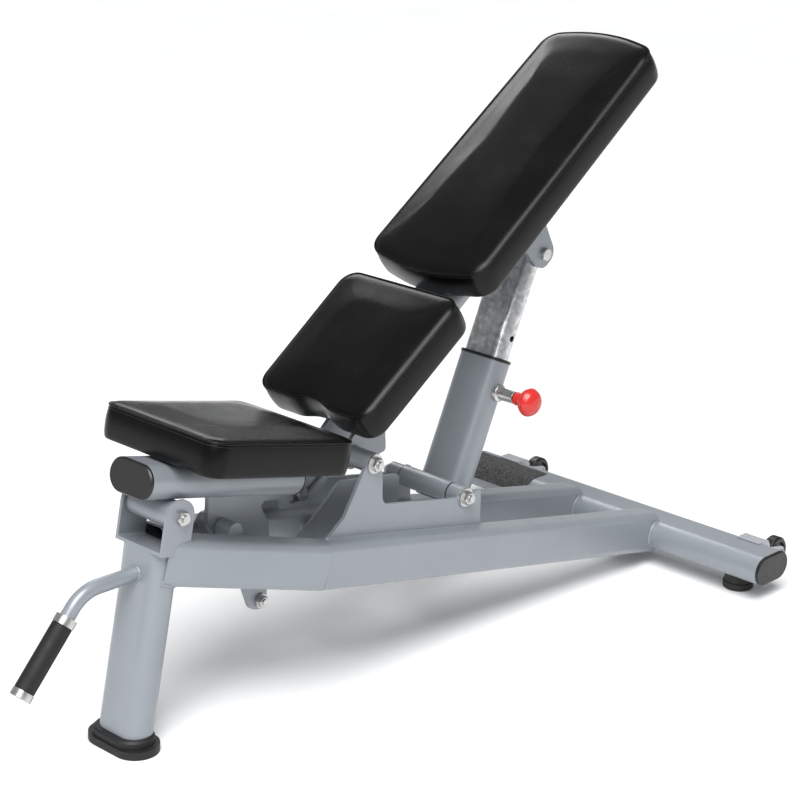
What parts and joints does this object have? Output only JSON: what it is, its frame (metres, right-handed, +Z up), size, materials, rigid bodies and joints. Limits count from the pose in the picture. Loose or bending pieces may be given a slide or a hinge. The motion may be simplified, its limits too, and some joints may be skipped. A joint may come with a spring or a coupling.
{
  "type": "adjustable weight bench",
  "caption": "Adjustable weight bench: flat-oval tube frame, tilting seat, reclining two-pad backrest on a telescoping pin-locked strut, carry handle and transport wheels.",
  "frame": {"origin": "on the floor, at the centre of the bench's bounding box", "axes": "+X from the carry handle to the rear wheels, +Y to the right of a person lying on the bench with the head to the rear, +Z up"},
  "size_m": [1.4326, 0.67, 0.9154],
  "materials": {
    "frame_paint": "satin silver",
    "bracket_paint": "light grey, satin",
    "zinc": "zinc-plated",
    "galvanised": "galvanised, mottled",
    "vinyl": "black grained vinyl, semi-gloss",
    "board": "plywood under black backing cloth",
    "black_plastic": "moulded, satin",
    "foot_rubber": "matte",
    "grip_rubber": "ribbed, matte",
    "grip_pad": "gritty anti-slip sheet",
    "bush_plastic": "bearing nylon",
    "knob_red": "glossy red",
    "collar_aluminium": "turned",
    "spring_steel": "spring wire"
  },
  "bodies": {
    "frame": {"front_post": "frame_paint", "front_boot": "foot_rubber", "seat_bracket": "frame_paint", "rail_left": "frame_paint", "rail_right": "frame_paint", "rear_cross_tube": "frame_paint", "cross_tube_caps": "black_plastic", "rear_feet": "foot_rubber", "anti_slip_pad": "grip_pad", "cross_member": "frame_paint", "centre_gusset": "frame_paint", "side_plate_left": "frame_paint", "side_plate_right": "frame_paint", "pivot_bosses": "frame_paint", "pivot_bolts": "zinc", "pivot_nuts": "zinc", "pivot_washers": "zinc", "seat_guides": "frame_paint", "carry_handle": "frame_paint", "handle_grip": "grip_rubber", "handle_collars": "collar_aluminium", "wheel_brackets": "bracket_paint", "wheel_axles": "zinc"},
    "seat": {"seat_tube": "frame_paint", "seat_tube_caps": "black_plastic", "seat_pivot_tube": "frame_paint", "seat_pivot_bushes": "bush_plastic", "seat_cushion": "vinyl", "seat_board": "board", "seat_mounts": "frame_paint", "seat_screws": "zinc", "seat_guide_plate": "frame_paint", "guide_plate_bolt": "zinc"},
    "backrest": {"back_tube": "frame_paint", "back_tube_caps": "black_plastic", "back_pivot_tube": "frame_paint", "back_pivot_bushes": "bush_plastic", "back_arms": "frame_paint", "lever_plate": "frame_paint", "lever_pin": "zinc", "back_crossbars": "frame_paint", "back_screws": "zinc", "lumbar_cushion": "vinyl", "back_cushion": "vinyl", "back_boards": "board", "strut_ears": "frame_paint", "strut_top_bolt": "zinc"},
    "strut_sleeve": {"strut_sleeve": "frame_paint", "strut_pivot_tube": "frame_paint", "strut_pivot_bushes": "bush_plastic", "sleeve_bush": "black_plastic", "bush_screw": "zinc", "pin_housing": "zinc", "pin_spring": "spring_steel"},
    "strut_inner": {"strut_inner_tube": "galvanised", "strut_eye": "frame_paint"},
    "pull_pin": {"pull_pin": "zinc", "pull_knob": "knob_red"},
    "wheel_left": {"wheel_left": "black_plastic"},
    "wheel_right": {"wheel_right": "black_plastic"}
  },
  "joints": [
    {"name": "backrest_tilt", "type": "hinge", "parent": "frame", "child": "backrest", "pos_m": [-0.1126, 0, 0.3424], "axis": [0, -1, 0], "range_deg": [-36.3, 22]},
    {"name": "seat_tilt", "type": "hinge", "parent": "frame", "child": "seat", "pos_m": [-0.46277, 0, 0.34097], "axis": [0, 1, 0], "range_deg": [-12.9, 7.94]},
    {"name": "strut_swing", "type": "hinge", "parent": "frame", "child": "strut_sleeve", "pos_m": [0.0946, 0, 0.236], "axis": [0, -1, 0], "range_deg": [-38.23, 23.29]},
    {"name": "strut_slide", "type": "slide", "parent": "strut_sleeve", "child": "strut_inner", "axis": [0.4026, 0, 0.9154], "range_m": [-0.1421, 0.0867]},
    {"name": "pull_pin", "type": "slide", "parent": "strut_sleeve", "child": "pull_pin", "axis": [0, -1, 0], "range_m": [0, 0.012], "stiffness_N_per_m": 900, "springref_m": -0.004, "deforming": ["pin_spring"]},
    {"name": "wheel_left_spin", "type": "hinge", "parent": "frame", "child": "wheel_left", "pos_m": [0.6903, -0.271, 0.039], "axis": [0, 1, 0], "continuous": true},
    {"name": "wheel_right_spin", "type": "hinge", "parent": "frame", "child": "wheel_right", "pos_m": [0.6903, 0.265, 0.039], "axis": [0, 1, 0], "continuous": true}
  ],
  "couplings": [
    {"joint": "seat_tilt", "follows": "backrest_tilt", "ratio": 0.34711},
    {"joint": "strut_swing", "follows": "backrest_tilt", "ratio": 1.045},
    {"joint": "strut_slide", "follows": "backrest_tilt", "m_per_rad": 0.222}
  ]
}
